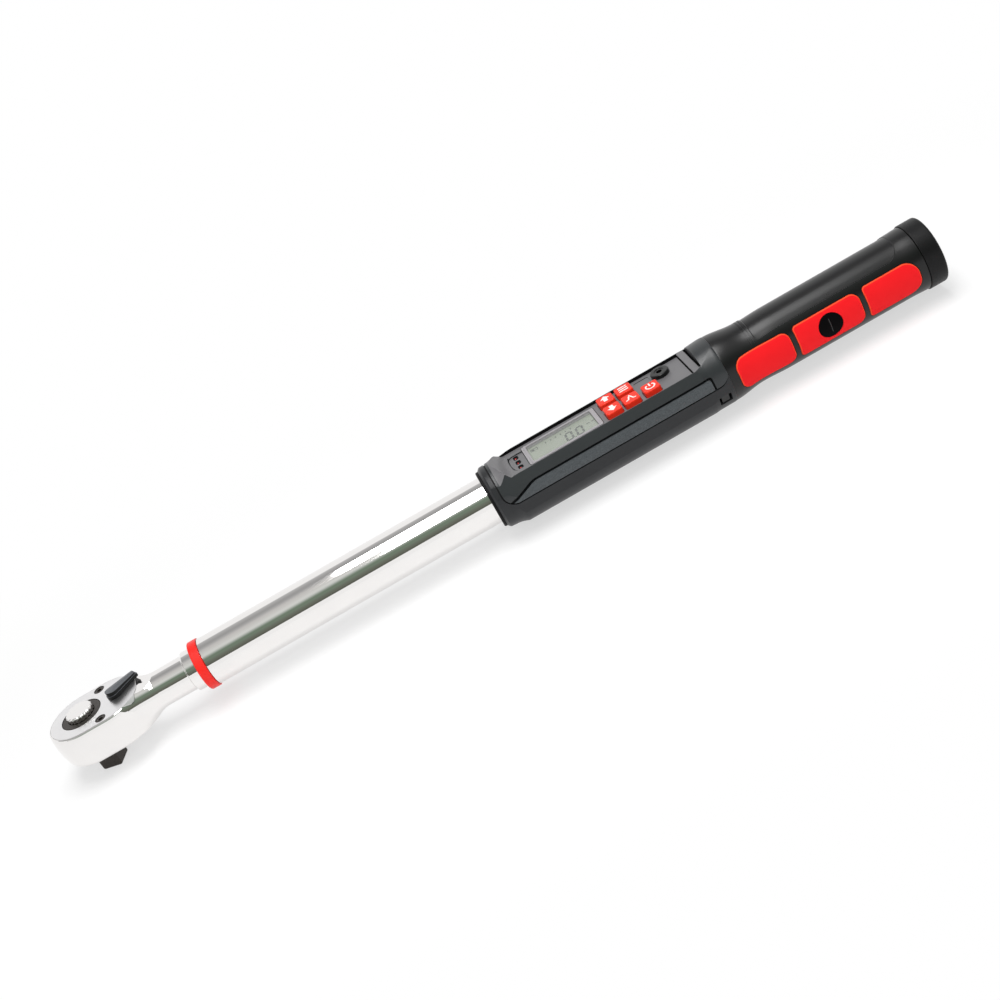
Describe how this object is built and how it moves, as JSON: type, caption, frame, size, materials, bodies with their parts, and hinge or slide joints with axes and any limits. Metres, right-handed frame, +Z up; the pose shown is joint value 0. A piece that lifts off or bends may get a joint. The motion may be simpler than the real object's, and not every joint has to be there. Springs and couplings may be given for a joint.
{
  "type": "electronic torque wrench",
  "caption": "Electronic torque wrench: reversible square-drive ratchet head on a chrome tube, moulded housing with a display and keys, and a padded handle with a screwed battery cap",
  "frame": {"origin": "centre of the square drive's tip face", "axes": "+X along the wrench from the drive to the end cap, +Z up out of the display, along the drive axis, +Y to the right of someone holding the handle and looking at the drive"},
  "size_m": [0.567, 0.044, 0.0472],
  "materials": {
    "polished_chrome": "polished",
    "black_steel": "black oxide",
    "gunmetal": "satin gunmetal",
    "spring_steel": "bright",
    "red_plastic": "semi-gloss",
    "lamp_red": "clear tinted",
    "black_rubber": "matt",
    "charcoal_plastic": "fine moulded texture",
    "grey_plastic": "satin",
    "display_glass": "clear",
    "display_cell": "grey-green display",
    "board_green": "solder mask",
    "copper_film": "foil",
    "black_plastic": "satin moulded",
    "red_rubber": "soft moulded",
    "cell_jacket": "plain jacket"
  },
  "bodies": {
    "wrench": {"ratchet_head": "polished_chrome", "head_cover": "polished_chrome", "barrel_tube": "polished_chrome", "cover_screw_left": "black_steel", "cover_screw_right": "black_steel", "housing_screw_1": "black_steel", "housing_screw_2": "black_steel", "housing_screw_3": "black_steel", "housing_screw_4": "black_steel", "front_contact": "spring_steel", "marker_ring": "red_plastic", "indicator_led_1": "lamp_red", "indicator_led_2": "lamp_red", "indicator_led_3": "lamp_red", "front_seal": "black_rubber", "gauge_lead": "black_rubber", "battery_lead": "black_rubber", "nose_ring": "charcoal_plastic", "housing_upper": "charcoal_plastic", "housing_lower": "charcoal_plastic", "display_bezel": "grey_plastic", "display_window": "display_glass", "lcd_module": "display_cell", "circuit_board": "board_green", "strain_gauge_left": "copper_film", "strain_gauge_right": "copper_film", "handle_body": "black_plastic", "data_jack": "black_plastic", "buzzer": "black_plastic", "load_point_left": "black_plastic", "load_point_right": "black_plastic", "battery_liner": "black_plastic", "grip_pad_left_front": "red_rubber", "grip_pad_left_middle": "red_rubber", "grip_pad_left_rear": "red_rubber", "grip_pad_right_front": "red_rubber", "grip_pad_right_middle": "red_rubber", "grip_pad_right_rear": "red_rubber", "battery_front": "cell_jacket", "battery_rear": "cell_jacket"},
    "drive": {"drive_gear": "black_steel", "release_spring": "spring_steel"},
    "button": {"release_button": "polished_chrome"},
    "ball": {"detent_ball": "spring_steel"},
    "lever": {"reversing_lever": "gunmetal", "lever_plunger": "spring_steel", "plunger_spring": "spring_steel"},
    "pawl": {"pawl": "black_steel"},
    "key_up": {"key_up": "red_plastic"},
    "key_down": {"key_down": "red_plastic"},
    "key_mode": {"key_mode": "red_plastic"},
    "key_peak": {"key_peak": "red_plastic"},
    "key_power": {"key_power": "red_plastic"},
    "cap_contact": {"contact_spring": "spring_steel"},
    "cap": {"end_cap": "black_plastic", "cap_seal": "black_rubber"}
  },
  "joints": [
    {"name": "drive_spin", "type": "hinge", "parent": "wrench", "child": "drive", "pos_m": [0, 0, 0.0257], "axis": [0, 0, 1], "continuous": true},
    {"name": "button_press", "type": "slide", "parent": "drive", "child": "button", "axis": [0, 0, -1], "range_m": [0, 0.0025], "stiffness_N_per_m": 600, "springref_m": -0.002, "deforming": ["release_spring"]},
    {"name": "ball_retract", "type": "slide", "parent": "drive", "child": "ball", "axis": [0.3584, 0.9336, 0], "range_m": [-0.001, 0]},
    {"name": "lever_flip", "type": "hinge", "parent": "wrench", "child": "lever", "pos_m": [0.022, 0, 0.0257], "axis": [0, 0, 1], "range_deg": [-64, 0]},
    {"name": "pawl_rock", "type": "hinge", "parent": "wrench", "child": "pawl", "pos_m": [0.0165, 0, 0.0257], "axis": [0, 0, 1], "range_deg": [0, 9.5]},
    {"name": "key_up_press", "type": "slide", "parent": "wrench", "child": "key_up", "axis": [0, 0, -1], "range_m": [0, 0.0008], "stiffness_N_per_m": 800, "springref_m": -0.0005},
    {"name": "key_down_press", "type": "slide", "parent": "wrench", "child": "key_down", "axis": [0, 0, -1], "range_m": [0, 0.0008], "stiffness_N_per_m": 800, "springref_m": -0.0005},
    {"name": "key_mode_press", "type": "slide", "parent": "wrench", "child": "key_mode", "axis": [0, 0, -1], "range_m": [0, 0.0008], "stiffness_N_per_m": 800, "springref_m": -0.0005},
    {"name": "key_peak_press", "type": "slide", "parent": "wrench", "child": "key_peak", "axis": [0, 0, -1], "range_m": [0, 0.0008], "stiffness_N_per_m": 800, "springref_m": -0.0005},
    {"name": "key_power_press", "type": "slide", "parent": "wrench", "child": "key_power", "axis": [0, 0, -1], "range_m": [0, 0.0008], "stiffness_N_per_m": 800, "springref_m": -0.0005},
    {"name": "cap_travel", "type": "slide", "parent": "wrench", "child": "cap_contact", "axis": [1, 0, 0], "range_m": [0, 0.004]},
    {"name": "cap_turn", "type": "hinge", "parent": "cap_contact", "child": "cap", "pos_m": [0.5341, 0, 0.0257], "axis": [1, 0, 0], "range_deg": [0, 720]}
  ],
  "couplings": [
    {"joint": "ball_retract", "follows": "button_press", "ratio": -0.4},
    {"joint": "pawl_rock", "follows": "lever_flip", "ratio": -0.14844},
    {"joint": "cap_travel", "follows": "cap_turn", "m_per_rad": 0.00031831}
  ]
}
